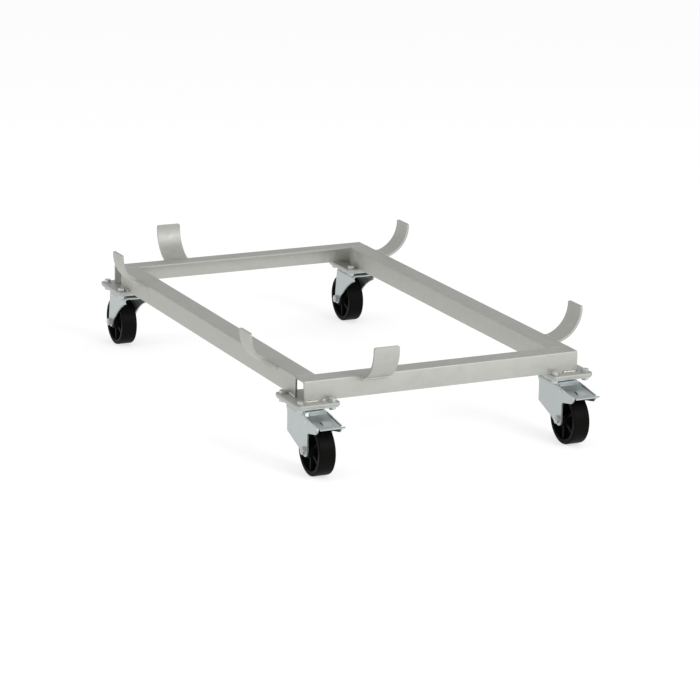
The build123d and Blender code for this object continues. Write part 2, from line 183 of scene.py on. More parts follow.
def rim_faces(rows, columns, offset):
    """Quads that join the border of one grid to the same border of a second grid, offset on."""
    index = np.arange(rows * columns).reshape(rows, columns)
    border = np.concatenate([index[0, :-1], index[:-1, -1], index[-1, :0:-1], index[:0:-1, 0]])
    following = np.roll(border, -1)
    return np.stack([border, border + offset, following + offset, following], 1)


def shell(outer, inner):
    """A closed plate: two grids of points of the same size, joined round their border."""
    rows, columns = outer.shape[:2]
    faces = grid_faces(rows, columns)
    count = rows * columns
    points = np.concatenate([outer.reshape(-1, 3), inner.reshape(-1, 3)])
    return points, np.concatenate([faces, faces[:, ::-1] + count, rim_faces(rows, columns, count)])


def joined(parts):
    """Several (points, faces) pairs as one pair."""
    points, faces, start = [], [], 0
    for part_points, part_faces in parts:
        points.append(part_points)
        faces.append(part_faces + start)
        start += len(part_points)
    return np.concatenate(points), np.concatenate(faces)


def rings(table, closed):
    """Rings of points, each ring closed; the rows are closed too where the solid is hollow."""
    rows, columns = table.shape[:2]
    return table.reshape(-1, 3), grid_faces(rows, columns, closed, True)


def link_piece(name, work, body, replaces, sharp, bevel, finish):
    """Make the worked mesh a piece with its finish, and let it ride on a CAD body."""
    mesh = bpy.data.meshes.new(name)
    work.to_mesh(mesh)
    work.free()
    mesh.shade_smooth()
    mesh.set_sharp_from_angle(angle=math.radians(sharp))
    mesh.materials.append(finish_of(finish))
    piece = bpy.data.objects.new(name, mesh)
    bpy.context.scene.collection.objects.link(piece)
    if bevel > 0:
        rounded = piece.modifiers.new("Rounded edges", "BEVEL")
        rounded.width = bevel
        rounded.segments = 2
        rounded.limit_method = "ANGLE"
        rounded.angle_limit = math.radians(40)
        rounded.harden_normals = False
    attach(piece, body)
    if replaces:
        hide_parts(*replaces)


def put(name, points, faces, slot, body, replaces=(), sharp=35.0, bevel=0.0, finish=None):
    """Make one piece in place from points and faces, its faces outward."""
    mesh = bpy.data.meshes.new(name + "_raw")
    mesh.from_pydata(points.tolist(), [], faces.tolist())
    work = bmesh.new()
    work.from_mesh(mesh)
    bpy.data.meshes.remove(mesh)
    bmesh.ops.remove_doubles(work, verts=work.verts, dist=1e-6)
    bmesh.ops.dissolve_degenerate(work, edges=work.edges, dist=1e-7)
    bmesh.ops.recalc_face_normals(work, faces=work.faces)
    link_piece(name, work, body, replaces, sharp, bevel, finish or slot)


def softened(node, slot, body, bevel):
    """A merged copy of a CAD node with its cut edges rounded, standing for that node."""
    work = bmesh.new()
    work.from_mesh(NODES[node].data)
    bmesh.ops.remove_doubles(work, verts=work.verts, dist=2e-6)
    bmesh.ops.dissolve_limit(
        work, angle_limit=math.radians(1.0), verts=work.verts, edges=work.edges
    )
    link_piece(node + "_finished", work, body, [node], 30.0, bevel, slot)


# ------------------------------------------------------------------ node helpers
def start_material(name):
    """An empty node material with its output, and a Principled shader joined to it."""
    material = bpy.data.materials.new(name)
    material.use_nodes = True
    tree = material.node_tree
    tree.nodes.clear()
    output = tree.nodes.new("ShaderNodeOutputMaterial")
    shader = tree.nodes.new("ShaderNodeBsdfPrincipled")
    tree.links.new(shader.outputs["BSDF"], output.inputs["Surface"])
    return material, tree, shader


def node_of(tree, kind, output, values):
    """An output of a new node, each of whose named sockets is set or joined."""
    node = tree.nodes.new("ShaderNode" + kind)
    for name, value in values.items():
        if isinstance(value, bpy.types.NodeSocket):
            tree.links.new(value, node.inputs[name])
        else:
            node.inputs[name].default_value = value
    return node.outputs[output]


def object_place(tree, scale=(1, 1, 1)):
    """Object coordinates, stretched by a Mapping node."""
    place = node_of(tree, "TexCoord", "Object", {})
    return node_of(tree, "Mapping", "Vector", {"Scale": scale, "Vector": place})


def noise(tree, vector, scale, detail=4.0, roughness=0.55, distortion=0.0):
    """A Noise texture's factor."""
    return node_of(tree, "TexNoise", "Fac", {
        "Vector": vector, "Scale": scale, "Detail": detail, "Roughness": roughness,
        "Distortion": distortion,
    })


def math_node(tree, operation, first, second):
    """A Math node on two sockets or numbers."""
    node = tree.nodes.new("ShaderNodeMath")
    node.operation = operation
    for socket, value in zip(node.inputs, (first, second)):
        if isinstance(value, (int, float)):
            socket.default_value = value
        else:
            tree.links.new(value, socket)
    return node.outputs["Value"]


def spread(tree, value, low, high, from_low=0.0, from_high=1.0):
    """Map a value's range onto another."""
    return node_of(tree, "MapRange", "Result", {
        "Value": value, "From Min": from_low, "From Max": from_high, "To Min": low, "To Max": high,
    })


def blended(tree, *terms):
    """The sum of sockets, each times its share."""
    parts = [
        socket if share == 1 else math_node(tree, "MULTIPLY", socket, share)
        for socket, share in terms
    ]
    total = parts[0]
    for part in parts[1:]:
        total = math_node(tree, "ADD", total, part)
    return total


def scaled(colour, factor):
    """A colour made darker or lighter, all alike or each channel by its own factor."""
    return tuple(min(1.0, float(channel)) for channel in np.array(colour) * factor)


def clad(tree, shader, colour, factor, low, high, rough, metallic):
    """Set a finish: its colour runs from low to high times one colour, by a factor."""
    ramp = tree.nodes.new("ShaderNodeValToRGB")
    ramp.color_ramp.elements[0].color = (*scaled(colour, low), 1)
    ramp.color_ramp.elements[1].color = (*scaled(colour, high), 1)
    tree.links.new(factor, ramp.inputs["Fac"])
    tree.links.new(ramp.outputs["Color"], shader.inputs["Base Color"])
    tree.links.new(rough, shader.inputs["Roughness"])
    shader.inputs["Metallic"].default_value = metallic


def bumped(tree, shader, height, distance, strength):
    """Use a height as the shader's bump."""
    bump = {"Distance": distance, "Strength": strength, "Height": height}
    tree.links.new(node_of(tree, "Bump", "Normal", bump), shader.inputs["Normal"])


# ------------------------------------------------------------------ finishes
def galvanised_steel():
    """Dull zinc: faint crystals of random tone, cloudy mottling, fine grain and thin streaks."""
    finish = bpy.context.scene.dolly_finish
    material, tree, shader = start_material("Hot-dip galvanised steel")
    place = object_place(tree)
    warp = tree.nodes.new("ShaderNodeTexNoise")
    warp.inputs["Scale"].default_value = 45.0
    tree.links.new(place, warp.inputs["Vector"])
    bend = tree.nodes.new("ShaderNodeVectorMath")
    bend.operation = "MULTIPLY_ADD"
    bend.inputs[1].default_value = (0.012, 0.012, 0.012)
    tree.links.new(warp.outputs["Color"], bend.inputs[0])
    tree.links.new(place, bend.inputs[2])
    bent = {"Scale": 1.0 / finish.spangle, "Vector": bend.outputs["Vector"]}
    crystals = node_of(tree, "TexVoronoi", "Color", bent)
    crystal = node_of(tree, "SeparateColor", "Red", {"Color": crystals})
    cloud = noise(tree, place, 9.0, 5.0, 0.6, 0.4)
    grain = noise(tree, place, 420.0, 3.0, 0.6)
    runs = noise(tree, object_place(tree, (1.0, 1.0, 0.12)), 60.0, 3.0, 0.5)
    tone = blended(tree, (crystal, 0.26), (cloud, 0.42), (grain, 0.16), (runs, 0.16))
    rough = blended(tree, (crystal, 0.12), (spread(tree, cloud, 0.40, 0.56), 1))
    clad(tree, shader, finish.galvanised, tone, 0.84, 1.16, rough, 0.72)
    bumped(tree, shader, blended(tree, (cloud, 0.9), (grain, 0.10)), 0.0016, 0.55)
    return material


def zinc_plate():
    """Bright bluish plating on pressed sheet: soft clouds, faint press marks, satin gloss."""
    colour = bpy.context.scene.dolly_finish.plated
    material, tree, shader = start_material("Bluish zinc plate")
    place = object_place(tree)
    cloud = noise(tree, place, 26.0, 4.0, 0.55, 0.3)
    grain = noise(tree, place, 700.0, 2.0, 0.5)
    drawn = noise(tree, object_place(tree, (6.0, 6.0, 0.5)), 80.0, 3.0, 0.5)
    tone = blended(tree, (cloud, 0.6), (drawn, 0.4))
    rough = blended(tree, (spread(tree, cloud, 0.27, 0.40), 1), (grain, 0.08))
    clad(tree, shader, colour, tone, 0.86, (1.12, 1.10, 1.07), rough, 0.80)
    bumped(tree, shader, blended(tree, (cloud, 1), (grain, 0.08)), 0.0006, 0.5)
    return material


def fastener_zinc():
    """Zinc on turned and headed steel: brighter, with small dark scuffs."""
    colour = bpy.context.scene.dolly_finish.fastener
    material, tree, shader = start_material("Fastener zinc")
    place = object_place(tree)
    cloud = noise(tree, place, 120.0, 4.0, 0.6, 0.5)
    scuff = noise(tree, place, 520.0, 3.0, 0.7)
    tone = math_node(tree, "MULTIPLY", cloud, spread(tree, scuff, 0.7, 1.3))
    clad(tree, shader, colour, tone, 0.72, 1.18, spread(tree, cloud, 0.24, 0.46), 0.88)
    bumped(tree, shader, scuff, 0.0002, 0.5)
    return material


def shoe_steel():
    """Dull bare steel of the brake shoe."""
    colour = bpy.context.scene.dolly_finish.shoe
    material, tree, shader = start_material("Brake shoe steel")
    cloud = noise(tree, object_place(tree), 90.0, 4.0, 0.6)
    clad(tree, shader, colour, cloud, 0.7, 1.3, spread(tree, cloud, 0.45, 0.65), 0.7)
    bumped(tree, shader, cloud, 0.0004, 0.5)
    return material


def wheel_plastic():
    """Black moulded plastic: faint flow marks, fine texture, dusty scuffs."""
    colour = bpy.context.scene.dolly_finish.wheel
    material, tree, shader = start_material("Black wheel plastic")
    place = object_place(tree)
    flow = noise(tree, place, 24.0, 4.0, 0.55, 0.6)
    texture = noise(tree, place, 900.0, 2.0, 0.5)
    scuffs = noise(tree, place, 210.0, 5.0, 0.7, 0.8)
    dust = spread(tree, scuffs, 0.0, 1.0, 0.56, 0.80)
    tone = blended(tree, (flow, 0.35), (dust, 0.5))
    clad(tree, shader, colour, tone, 0.7, 2.2, spread(tree, flow, 0.34, 0.52), 0.0)
    shader.inputs["Specular IOR Level"].default_value = 0.03
    bumped(tree, shader, blended(tree, (flow, 1), (texture, 0.12)), 0.0005, 0.5)
    return material


def weld_metal():
    """Zinc over a weld: brighter and smoother than the rails around it."""
    colour = scaled(bpy.context.scene.dolly_finish.galvanised, 1.12)
    material, tree, shader = start_material("Galvanised weld bead")
    cloud = noise(tree, object_place(tree), 160.0, 4.0, 0.65, 0.6)
    clad(tree, shader, colour, cloud, 0.78, 1.25, spread(tree, cloud, 0.26, 0.50), 0.78)
    bumped(tree, shader, cloud, 0.0007, 0.6)
    return material


FINISHES = {}


def finish_of(name):
    """The material of that slot, made once."""
    makers = {
        "galvanised_steel": galvanised_steel,
        "zinc_plate": zinc_plate,
        "bolt_zinc": fastener_zinc,
        "brake_steel": shoe_steel,
        "wheel_plastic": wheel_plastic,
        "weld": weld_metal,
    }
    if name not in FINISHES:
        FINISHES[name] = makers[name]()
    return FINISHES[name]


# ------------------------------------------------------------------ turned and hexagonal shapes
def axis_frame(axis):
    """An axis and two directions square to it and to each other."""
    axis = np.array(axis, float)
    side = np.array((0.0, 0.0, 1.0)) if abs(axis[2]) < 0.5 else np.array((1.0, 0.0, 0.0))
    return axis, side, np.cross(axis, side)


def unit_ring(angles, side, across):
    """Unit vectors at the given angles, from one direction towards the other."""
    return np.cos(angles)[:, None] * side + np.sin(angles)[:, None] * across


def turn_about(centre, axis, profile, steps, closed=False):
    """A solid of revolution: each profile row is (distance along the axis, radius).

    The point at angle t is centre + along * axis + radius * (cos t * side + sin t * across).
    """
    axis, side, across = axis_frame(axis)
    angles = np.linspace(0, 2 * math.pi, steps, endpoint=False)
    rows = np.array(profile, float)
    around = unit_ring(angles, side, across)
    table = np.array(centre) + rows[:, None, :1] * axis + rows[:, None, 1:2] * around
    return rings(table, closed)


def hexagonal(centre, axis, across_flats, height, bore=0.0, turn=0.0, ends=(True, True)):
    """A hexagonal prism whose corners are cut back by a 30 degree cone at its ends.

    The side's radius at angle t is half the width over flats, divided by the cosine of the
    angle from the nearest flat; the cone lowers the face by the radius past the flats
    times the tangent of 30 degrees.
    """
    steps = 72
    flat = across_flats / 2
    angles = np.linspace(0, 2 * math.pi, steps, endpoint=False)
    from_flat = np.mod(angles + math.pi / 6, math.pi / 3) - math.pi / 6
    radius = flat / np.cos(from_flat)
    cone = flat * 0.97
    drop = (radius - cone) * math.tan(math.radians(30))
    low = drop if ends[0] else np.zeros(steps)
    high = height - (drop if ends[1] else np.zeros(steps))
    mouth = 0.0006 if bore > 0 else 0.0
    ring = np.ones(steps)
    rows = [
        (mouth * ring, bore * ring),
        (0 * ring, (bore + mouth) * ring),
        (0 * ring, (cone if ends[0] else cone * 0.99) * ring),
        (low, radius),
        (high, radius),
        (height * ring, cone * ring),
        (height * ring, (bore + mouth) * ring),
        ((height - mouth) * ring, bore * ring),
    ]
    axis, side, across = axis_frame(axis)
    around = unit_ring(angles + turn, side, across)
    table = np.array([
        np.array(centre) + along[:, None] * axis + out[:, None] * around for along, out in rows
    ])
    return rings(table, bore > 0)


def threaded(centre, axis, diameter, length, pitch):
    """A rod with a helical thread: its radius follows a triangle wave of height and angle."""
    steps, per_turn = 32, 6
    rows = max(4, int(length / pitch * per_turn))
    along = np.linspace(0, length, rows)
    angles = np.linspace(0, 2 * math.pi, steps, endpoint=False)
    phase = along[:, None] / pitch + angles[None, :] / (2 * math.pi)
    wave = np.abs(np.mod(phase, 1.0) * 2 - 1)
    fade = np.clip((length - along) / pitch, 0.25, 1)[:, None]
    radius = diameter / 2 * fade ** 0.12 - 0.5 * pitch * (1 - wave)
    axis, side, across = axis_frame(axis)
    around = unit_ring(angles, side, across)
    table = np.array(centre) + along[:, None, None] * axis + radius[:, :, None] * around[None]
    start = np.broadcast_to(np.array(centre, float), (1, steps, 3))
    end = np.broadcast_to(np.array(centre) + length * axis, (1, steps, 3))
    return rings(np.concatenate([start, table, end]), False)


WASHER_RADIUS = 10 * MM
WASHER_HOLE = 5.2 * MM
WASHER_EDGE = 0.35 * MM
PLATE_BOLT = {"width": 16 * MM, "thread": 10 * MM, "pitch": 1.5 * MM, "bore": 4.7 * MM}
AXLE = {"width": 18 * MM, "thread": 12 * MM, "pitch": 1.75 * MM, "bore": 5.7 * MM}


def bolt_places():
    """Where the sixteen bolts stand on the corner plates, read from the CAD's own washers."""
    plates = [corner + "_corner_plate" for corner in CORNERS]
    middles = [(*middle_of(plate)[:2], corner_of(plate, 1)[2]) for plate in plates]
    last = corner_of("plate_washers", 1) - WASHER_RADIUS
    step_x, step_y = (last[i] - max(spot[i] for spot in middles) for i in (0, 1))
    return [
        (x + dx * step_x, y + dy * step_y, z)
        for x, y, z in middles for dx in (-1, 1) for dy in (-1, 1)
    ]


# ------------------------------------------------------------------ rails and tabs
def fillet_points(before, corner, after, radius, steps=7):
    """Points of the arc that rounds a corner of an outline.

    The arc's ends lie radius / tan(half the corner's angle) back along both sides, and its
    centre lies radius / sin(half the angle) along the line that halves the corner.
    """
    corner = np.array(corner, float)
    back = np.array(before, float) - corner
    on = np.array(after, float) - corner
    back, on = back / np.linalg.norm(back), on / np.linalg.norm(on)
    half = math.acos(float(np.clip(back @ on, -1, 1))) / 2
    middle = (back + on) / np.linalg.norm(back + on)
    centre = corner + middle * radius / math.sin(half)
    first = corner + back * radius / math.tan(half) - centre
    last = corner + on * radius / math.tan(half) - centre
    turn = math.atan2(first[0] * last[1] - first[1] * last[0], first @ last)
    angles = np.linspace(0, turn, steps)
    cos, sin = np.cos(angles), np.sin(angles)
    return centre + np.stack([first[0] * cos - first[1] * sin, first[0] * sin + first[1] * cos], 1)


def rounded_outline(corners, radii, steps=7):
    """A closed outline with every corner rounded by its own radius."""
    count = len(corners)
    parts = [
        fillet_points(corners[i - 1], corners[i], corners[(i + 1) % count], radii[i], steps)
        for i in range(count)
    ]
    return np.concatenate(parts)


def rail_sweep(node):
    """An L profile carried along a rail; its ends close on a point inside the heel.

    Every point is the rail's corner plus the profile's first coordinate along the flange,
    its second down the leg, and the rail's length along the run.
    """
    low, high = ends_of(node)
    size = high - low
    runs_along_x = size[0] > size[1]
    leg, sheet = float(size[2]), RAIL_SHEET
    outline = rounded_outline(
        [(0, 0), (leg, 0), (leg, -sheet), (sheet, -sheet), (sheet, -leg), (0, -leg)],
        [HEEL_RADIUS, CUT_RADIUS, TOE_RADIUS, ROOT_RADIUS, TOE_RADIUS, CUT_RADIUS],
    )
    inside = np.full_like(outline, sheet / 2) * (1, -1)
    stations = (0.0, 0.0, 1.0, 1.0)
    shapes = (inside, outline, outline, inside)
    across = 1 if runs_along_x else 0
    heel_low = node != HEEL_AT_HIGH_SIDE
    heel = low[across] if heel_low else high[across]
    sense = 1 if heel_low else -1
    table = np.zeros((4, len(outline), 3))
    for row, (station, shape) in enumerate(zip(stations, shapes)):
        table[row, :, 1 - across] = low[1 - across] + station * size[1 - across]
        table[row, :, across] = heel + sense * shape[:, 0]
        table[row, :, 2] = high[2] + shape[:, 1]
    return rings(table, False)


RAIL_SHEET = 5 * MM
HEEL_RADIUS = 3 * MM
ROOT_RADIUS = 6 * MM
TOE_RADIUS = 2.2 * MM
CUT_RADIUS = 0.4 * MM
HEEL_AT_HIGH_SIDE = "back_rail"

TAB_BEND = 84 * MM
TAB_SHEET = 6 * MM
TAB_CORNER = 5 * MM
TABS = {
    "front_tab": (0, -1),
    "back_tab": (0, 1),
    "left_front_tab": (-1, 0),
    "left_back_tab": (-1, 0),
    "right_front_tab": (1, 0),
    "right_back_tab": (1, 0),
}


def tab_surface(node, outward, radius):
    """One face of a guide tab on a grid of length and width.

    A point at angle a under the level is the bend's centre plus radius times (cos a
    outwards, -sin a upwards); past the bend the bar stands straight up. Its half width
    shrinks near the top by the corner radius less the root of its square minus the square
    of what is left of the corner.
    """
    low, high = ends_of(node)
    out = np.array((*outward, 0.0))
    along = np.array((abs(outward[1]), abs(outward[0]), 0.0))
    axis = 0 if outward[0] else 1
    tip = high[axis] if outward[axis] > 0 else low[axis]
    face = low[axis] if outward[axis] > 0 else high[axis]
    reach = abs(tip - face)
    half_width = float(abs((high - low) @ along)) / 2
    foot_outer = math.acos((TAB_BEND - reach) / TAB_BEND)
    centre_up = low[2] + TAB_BEND * math.sin(foot_outer)
    start = math.acos((TAB_BEND - reach) / radius)
    angles = np.linspace(start, 0, 25)
    stand = np.linspace(0, 1, 18)[1:] ** 0.75 * (high[2] - centre_up)
    from_face = reach - TAB_BEND
    outwards = np.concatenate([
        from_face + radius * np.cos(angles), np.full(len(stand), from_face + radius)
    ])
    upwards = np.concatenate([centre_up - radius * np.sin(angles), centre_up + stand])
    left = np.concatenate([radius * angles + high[2] - centre_up, (high[2] - centre_up) - stand])
    corner = np.clip(TAB_CORNER - left, 0, TAB_CORNER)
    half = half_width - TAB_CORNER + np.sqrt(TAB_CORNER**2 - corner**2)
    across = np.linspace(-1, 1, 15)
    base = np.where(np.array((1, 1, 0)) * along > 0, (low + high) / 2, 0) + np.abs(out) * face
    return (
        base
        + outwards[:, None, None] * out
        + upwards[:, None, None] * np.array((0.0, 0.0, 1.0))
        + (half[:, None] * across)[:, :, None] * along
    )


def plate_sweep(node, corner_radius, edge):
    """A rounded plate: its outline is carried over a rounded edge and closed at the middle."""
    low, high = ends_of(node)
    middle, half = (low + high) / 2, (high - low) / 2
    steps = 9
    quarter = np.linspace(0, math.pi / 2, steps)
    turns = np.concatenate([quarter + k * math.pi / 2 for k in range(4)])
    sign_x = np.repeat((1, -1, -1, 1), steps)
    sign_y = np.repeat((1, 1, -1, -1), steps)
    ease = np.linspace(0, math.pi / 2, 4)
    insets = np.concatenate([edge * (1 - np.sin(ease)), edge * (1 - np.cos(ease))])
    heights = np.concatenate([
        high[2] - edge + edge * np.cos(ease), low[2] + edge - edge * np.sin(ease)
    ])
    rows = [np.array((middle[0], middle[1], high[2])) * np.ones((4 * steps, 3))]
    for inset, height in zip(insets, heights):
        radius = corner_radius - inset
        x = middle[0] + sign_x * (half[0] - corner_radius) + radius * np.cos(turns)
        y = middle[1] + sign_y * (half[1] - corner_radius) + radius * np.sin(turns)
        rows.append(np.stack([x, y, np.full(4 * steps, height)], 1))
    rows.append(np.array((middle[0], middle[1], low[2])) * np.ones((4 * steps, 3)))
    return rings(np.array(rows), False)


# ------------------------------------------------------------------ welds
def bead(start, end, first_side, second_side, size, seed):
    """A weld bead along a corner: a round whose radius swells and sinks in ripples.

    At distance s the radius is the size, times an ellipse's taper at both ends, times one
    minus a small share of a ripple; the ripple is the sine of s plus a bow across the
    bead, and slow sines with their own phase make each bead uneven.
    """
    ripple = bpy.context.scene.dolly_sheet.ripple
    start, end = np.array(start, float), np.array(end, float)
    length = float(np.linalg.norm(end - start))
    run = (end - start) / length
    one, two = np.array(first_side, float), np.array(second_side, float)
    rows = max(12, int(length / ripple * 5))
    share = np.linspace(0, 1, rows)
    s = share * length
    angles = np.linspace(0, 2 * math.pi, 18, endpoint=False)
    end_gap = np.minimum(s, length - s) / (1.6 * size)
    taper = np.sqrt(np.clip(1 - (1 - np.clip(end_gap, 0, 1)) ** 2, 0, 1))
    bow = 0.45 * size * np.cos(angles - math.pi / 4)[None, :]
    wave = np.abs(np.sin(math.pi * (s[:, None] + bow) / ripple + seed))
    slow = 0.12 * np.sin(s / size * 0.9 + 2.1 * seed) + 0.07 * np.sin(s / size * 2.3 + 4.7 * seed)
    radius = size * taper[:, None] * (0.86 + slow[:, None] + 0.12 * wave)
    wander = 0.10 * size * np.sin(s / size * 0.6 + seed)[:, None, None] * (one - two)
    around = unit_ring(angles, one, two)
    line = start + s[:, None, None] * run
    table = line + wander + radius[:, :, None] * around[None]
    return rings(table, False)


def flat_bead(start, end, across, size, height, seed):
    """A butt weld dressed nearly flush: the same round, pressed flat in height."""
    points, faces = bead(start, end, across, (0, 0, 1), size, seed)
    level = (start[2] + end[2]) / 2
    points[:, 2] = level + (points[:, 2] - level) * height / size
    return points, faces


# ------------------------------------------------------------------ caster shapes
FORK_SHEET = 3.5 * MM
SHOULDER = 11 * MM
CROWN_RADIUS = 60 * MM
PLAIN_END = 13 * MM
BRAKED_END = 15 * MM
TRAIL = 56 * MM
AXLE_HEIGHT = 62.5 * MM
CROWN_TOP = 151.7 * MM
LEG_SLOPE = 19.5
PLAIN_HEM = 0.1372
PLAIN_SWEEP = (0.007, 0.101)
PLAIN_BACK = 0.056
KNEE_RADIUS = 0.014
NOSE_ROOT = 0.108
NOSE_UNDER, NOSE_LOW, NOSE_HIGH = (0.1185, 0.117), (0.127, 0.126), (0.127, 0.1345)
NOTCH = (0.046, 0.146)
ROLL_ZONE = 7 * MM


def three_point_arc(first, middle, last, steps):
    """Points of the arc through three points, from the first to the last."""
    (ax, ay), (bx, by), (cx, cy) = first, middle, last
    d = 2 * (ax * (by - cy) + bx * (cy - ay) + cx * (ay - by))
    a2, b2, c2 = ax * ax + ay * ay, bx * bx + by * by, cx * cx + cy * cy
    ox = (a2 * (by - cy) + b2 * (cy - ay) + c2 * (ay - by)) / d
    oy = (a2 * (cx - bx) + b2 * (ax - cx) + c2 * (bx - ax)) / d
    radius = math.hypot(ax - ox, ay - oy)
    begin = math.atan2(ay - oy, ax - ox)
    finish = math.atan2(cy - oy, cx - ox)
    turn = (finish - begin + math.pi) % (2 * math.pi) - math.pi
    angles = begin + np.linspace(0, 1, steps) * turn
    return np.stack([ox + radius * np.cos(angles), oy + radius * np.sin(angles)], 1)


def axle_round(sense, radius):
    """Half of the round under the axle, from its lowest point up to the axle's height."""
    angles = np.linspace(-math.pi / 2, 0, 14)
    return np.stack([
        TRAIL + sense * radius * np.cos(angles),
        AXLE_HEIGHT + radius * np.sin(angles),
    ], 1)


def plain_edges():
    """Leading and trailing edge of a plain fork's leg, each from the bottom up."""
    hem, top = (-CROWN_RADIUS, PLAIN_HEM), (-CROWN_RADIUS, CROWN_TOP)
    sweep = three_point_arc((TRAIL - PLAIN_END, AXLE_HEIGHT), PLAIN_SWEEP, hem, 30)
    leading = np.concatenate([axle_round(-1, PLAIN_END), sweep[1:], [top]])
    trailing = np.concatenate([axle_round(1, PLAIN_END), [(PLAIN_BACK, CROWN_TOP)]])
    return leading, trailing


def braked_edges():
    """Leading and trailing edge of a braked fork's leg, each from the bottom up."""
    round_under = axle_round(-1, BRAKED_END)
    slope = math.radians(LEG_SLOPE)
    foot = (TRAIL - BRAKED_END * math.sin(slope), AXLE_HEIGHT - BRAKED_END * math.cos(slope))
    knee = (-CROWN_RADIUS, foot[1] + (foot[0] + CROWN_RADIUS) * math.tan(slope))
    top = (-CROWN_RADIUS, CROWN_TOP)
    leading = np.concatenate([
        round_under[round_under[:, 1] < foot[1] - 0.01 * MM],
        [foot],
        fillet_points(foot, knee, top, KNEE_RADIUS),
        [top],
    ])
    back = TRAIL + BRAKED_END
    root, level = (back, NOSE_ROOT), (NOTCH[0] - 0.1 * MM, CROWN_TOP)
    trailing = np.concatenate([
        axle_round(1, BRAKED_END),
        fillet_points((back, AXLE_HEIGHT), root, NOSE_UNDER, 0.008),
        fillet_points(root, NOSE_UNDER, NOSE_LOW, 0.002),
        fillet_points(NOSE_UNDER, NOSE_LOW, NOSE_HIGH, 0.005, 5),
        fillet_points(NOSE_LOW, NOSE_HIGH, NOTCH, 0.005, 7),
        fillet_points(NOSE_HIGH, NOTCH, level, 0.001, 3),
        [(NOTCH[0], CROWN_TOP)],
    ])
    return leading, trailing


def fork_sheet(node, braked, surface):
    """One face of a fork on a grid: round the arch of both legs and the crown, and across.

    The arch goes up one leg, through a quarter round of the shoulder radius, over the
    level crown and down the other leg. Across, each line runs from the leading edge to
    the trailing edge of the outline at its own height, and the leading edge is never
    further out than the crown's circle. surface is 0 for the outer and 1 for the inner.
    """
    low, high = ends_of(node)
    top = high[2]
    outside = (high[0] - low[0]) / 2
    leading, trailing = braked_edges() if braked else plain_edges()
    heights = np.unique(np.round(np.concatenate([
        leading[:, 1], trailing[:, 1], np.linspace(AXLE_HEIGHT, top - SHOULDER, 26)
    ]), 5))
    heights = heights[heights < top - SHOULDER - 1e-5]
    quarter = np.linspace(0, math.pi / 2, 9)
    bend = SHOULDER - surface * FORK_SHEET
    leg_x = np.full(len(heights), outside - surface * FORK_SHEET)
    arc_x = outside - SHOULDER + bend * np.cos(quarter)
    arc_z = top - SHOULDER + bend * np.sin(quarter)
    crown_x = np.linspace(outside - SHOULDER, 0, 7)[1:]
    x = np.concatenate([leg_x, arc_x, crown_x])
    z = np.concatenate([heights, arc_z, np.full(6, top - surface * FORK_SHEET)])
    outline_z = np.concatenate([
        heights, top - SHOULDER + SHOULDER * np.sin(quarter), np.full(6, top)
    ])
    plan_x = np.concatenate([
        np.full(len(heights), outside), outside - SHOULDER + SHOULDER * np.cos(quarter), crown_x
    ])
    crown = -np.sqrt(CROWN_RADIUS**2 - plan_x**2)
    first = np.maximum(np.interp(outline_z, leading[:, 1], leading[:, 0]), crown)
    last = np.interp(outline_z, trailing[:, 1], trailing[:, 0])
    width = last - first
    near = np.linspace(0, 1, 6)
    near_share = np.minimum(ROLL_ZONE / np.maximum(width, 1e-6), 0.4)[:, None] * near
    far_share = near_share[:, -1:] + (1 - near_share[:, -1:]) * np.linspace(0, 1, 9)[1:]
    share = np.concatenate([near_share, far_share], 1)
    y = first[:, None] + width[:, None] * share
    roll = bpy.context.scene.dolly_sheet.roll
    edge = np.clip(1 - (y - first[:, None]) / ROLL_ZONE, 0, 1) ** 2
    clear = np.clip((np.hypot(y - TRAIL, z[:, None] - AXLE_HEIGHT) - 26 * MM) / (14 * MM), 0, 1)
    on_leg = np.clip((top - SHOULDER - z[:, None]) / (10 * MM), 0, 1)
    x_all = x[:, None] - roll * edge * clear**2 * (3 - 2 * clear) * on_leg
    half = np.stack([x_all, y, np.repeat(z[:, None], y.shape[1], 1)], 2)
    other = half[-2::-1] * (-1, 1, 1)
    return np.concatenate([half, other])


def at_corner(points, corner):
    """Turn and move caster points to their corner, as the CAD does."""
    centre = middle_of(corner + "_ball_race")
    turn = trails_to_back(corner)
    return points * (turn, turn, 1) + (centre[0], centre[1], 0)


